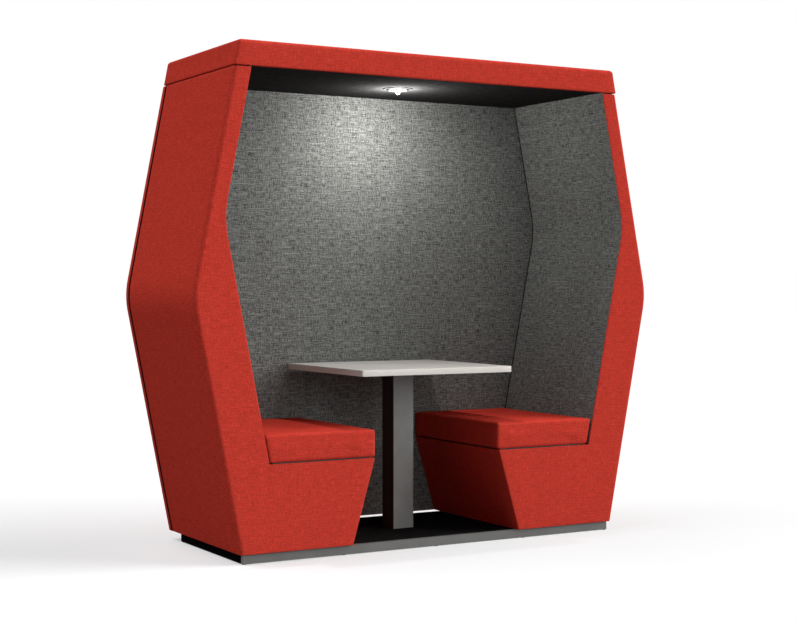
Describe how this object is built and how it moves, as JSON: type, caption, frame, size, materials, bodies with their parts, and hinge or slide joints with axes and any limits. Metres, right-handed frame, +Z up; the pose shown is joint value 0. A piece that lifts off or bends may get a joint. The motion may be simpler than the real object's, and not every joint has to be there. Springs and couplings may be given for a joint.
{
  "type": "acoustic booth pod",
  "caption": "Open-fronted hexagonal booth: padded leaning walls with benches and cushions, back wall, roof with ceiling lamp, central table on a post, low plinth.",
  "frame": {"origin": "on the floor, under the middle of the pod's footprint", "axes": "+Z up; the open front faces -Y; +X to the right as seen from the front"},
  "size_m": [2.1382, 0.736, 2],
  "materials": {
    "red_wool": "woven wool felt, red",
    "grey_melange": "woven melange wool, grey",
    "black_felt": "needle felt, black",
    "plinth_grey": "fine-grained grey laminate",
    "plinth_black": "matt black laminate",
    "plywood": "birch plywood, unfinished",
    "dark_board": "black-dyed board",
    "nylon": "black moulded plastic",
    "cable_sheath": "black cable sheath",
    "laminate": "pale grey speckled laminate on board",
    "coated_steel": "fine-textured grey powder coat",
    "zinc_steel": "zinc-plated steel",
    "lamp_black": "satin black paint",
    "lamp_aluminium": "plain cast aluminium",
    "lit_lens": "opal diffuser, lit from behind"
  },
  "bodies": {
    "pod": {"plinth_front": "plinth_grey", "plinth_sides": "plinth_black", "plinth_back": "plinth_black", "plinth_bearers": "plywood", "floor_board": "plywood", "floor_carpet": "black_felt", "floor_glides": "nylon", "left_shell": "red_wool", "right_shell": "red_wool", "left_lining": "grey_melange", "right_lining": "grey_melange", "left_ribs": "plywood", "right_ribs": "plywood", "left_rails": "plywood", "right_rails": "plywood", "left_boards": "plywood", "right_boards": "plywood", "left_deck": "plywood", "right_deck": "plywood", "left_gap_strip": "dark_board", "right_gap_strip": "dark_board", "back_cover": "red_wool", "back_core": "plywood", "back_lining": "grey_melange", "roof_cover": "red_wool", "roof_frame": "plywood", "ceiling_panel": "black_felt", "table_top": "laminate", "table_plate": "coated_steel", "table_post": "coated_steel", "post_foot": "coated_steel", "table_screws": "zinc_steel", "foot_bolts": "zinc_steel", "foot_nuts": "zinc_steel", "lamp_trim": "lamp_black", "lamp_clips": "zinc_steel", "lamp_pins": "zinc_steel", "lamp_driver": "nylon", "lamp_lead": "cable_sheath", "supply_lead": "cable_sheath", "mains_inlet": "nylon", "inlet_pins": "zinc_steel", "back_bolts": "zinc_steel", "back_nuts": "zinc_steel", "back_spacers": "nylon", "roof_bolts": "zinc_steel", "roof_nuts": "zinc_steel", "base_bolts": "zinc_steel", "base_nuts": "zinc_steel"},
    "left_seat": {"left_cushion": "red_wool", "left_seat_board": "dark_board"},
    "right_seat": {"right_cushion": "red_wool", "right_seat_board": "dark_board"},
    "lamp_tilting": {"lamp_head": "lamp_black", "lamp_heat_sink": "lamp_aluminium", "lamp_lens": "lit_lens"}
  },
  "joints": [
    {"name": "left_seat_out", "type": "slide", "parent": "pod", "child": "left_seat", "axis": [0, -1, 0], "range_m": [0, 0.72]},
    {"name": "right_seat_out", "type": "slide", "parent": "pod", "child": "right_seat", "axis": [0, -1, 0], "range_m": [0, 0.72]},
    {"name": "lamp_tilt", "type": "hinge", "parent": "pod", "child": "lamp_tilting", "pos_m": [0, -0.029, 1.903], "axis": [1, 0, 0], "range_deg": [-20, 20]}
  ]
}
